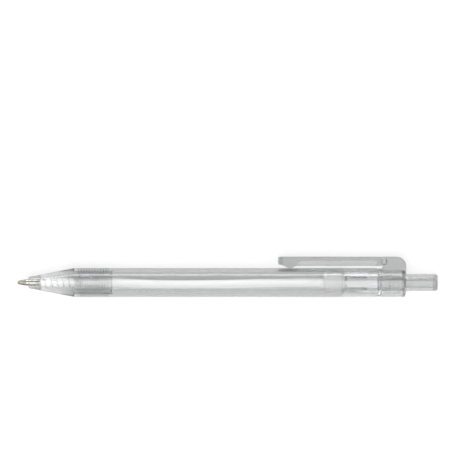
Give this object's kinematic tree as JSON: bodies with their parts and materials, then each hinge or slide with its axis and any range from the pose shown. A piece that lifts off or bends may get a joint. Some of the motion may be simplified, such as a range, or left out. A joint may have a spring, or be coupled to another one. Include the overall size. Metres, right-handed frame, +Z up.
{
  "type": "retractable ballpoint pen",
  "caption": "Push-button ballpoint pen with a clear barrel, clip and screw-on nose, a sprung refill and a click mechanism, point out.",
  "frame": {"origin": "on the table under the middle of the pen's box", "axes": "+X along the pen from the writing point to the button, +Z up, +Y to the side that the clip leans to"},
  "size_m": [0.145, 0.0142, 0.01],
  "materials": {
    "clear_plastic": "clear, polished",
    "white_plastic": "satin white",
    "tube_plastic": "satin, milky white",
    "spring_steel": "bright drawn wire",
    "nickel_silver": "turned, slightly warm",
    "hard_metal": "polished",
    "ink": "black paste"
  },
  "bodies": {
    "barrel": {"barrel": "clear_plastic", "cam_sleeve": "clear_plastic", "collar": "clear_plastic"},
    "button": {"push_button": "clear_plastic", "plunger": "clear_plastic"},
    "refill": {"refill_tube": "tube_plastic", "tip_adapter": "tube_plastic", "point": "nickel_silver", "ink_column": "ink"},
    "rotor": {"rotor": "white_plastic"},
    "ball": {"writing_ball": "hard_metal"},
    "spring": {"return_spring": "spring_steel"},
    "nose": {"nose_cone": "clear_plastic"},
    "clip": {"clip": "clear_plastic"}
  },
  "joints": [
    {"name": "button_slide", "type": "slide", "parent": "barrel", "child": "button", "axis": [1, 0, 0], "range_m": [-0.001, 0.005]},
    {"name": "refill_slide", "type": "slide", "parent": "barrel", "child": "refill", "axis": [1, 0, 0], "range_m": [-0.001, 0.005], "deforming": ["return_spring"]},
    {"name": "rotor_turn", "type": "hinge", "parent": "refill", "child": "rotor", "pos_m": [0.0365, -0.0021, 0.005], "axis": [1, 0, 0], "range_deg": [-9.5, 45.5]},
    {"name": "nose_travel", "type": "slide", "parent": "barrel", "child": "spring", "axis": [-1, 0, 0], "range_m": [0, 0.01235]},
    {"name": "nose_turn", "type": "hinge", "parent": "spring", "child": "nose", "pos_m": [-0.0528, -0.0021, 0.005], "axis": [-1, 0, 0], "range_deg": [0, 2341]},
    {"name": "clip_flex", "type": "hinge", "parent": "barrel", "child": "clip", "pos_m": [0.0539, 0.0048, 0.00294], "axis": [0, -0.2861, -0.9582], "range_deg": [0, 4], "stiffness_Nm_per_rad": 1, "springref_deg": -1.15},
    {"name": "ball_roll", "type": "hinge", "parent": "refill", "child": "ball", "pos_m": [-0.072, -0.0021, 0.005], "axis": [0, 1, 0], "continuous": true}
  ],
  "couplings": [
    {"joint": "refill_slide", "follows": "button_slide", "ratio": 1},
    {"joint": "rotor_turn", "follows": "button_slide", "rad_per_m": 157.08},
    {"joint": "nose_turn", "follows": "nose_travel", "rad_per_m": 3306.9}
  ]
}
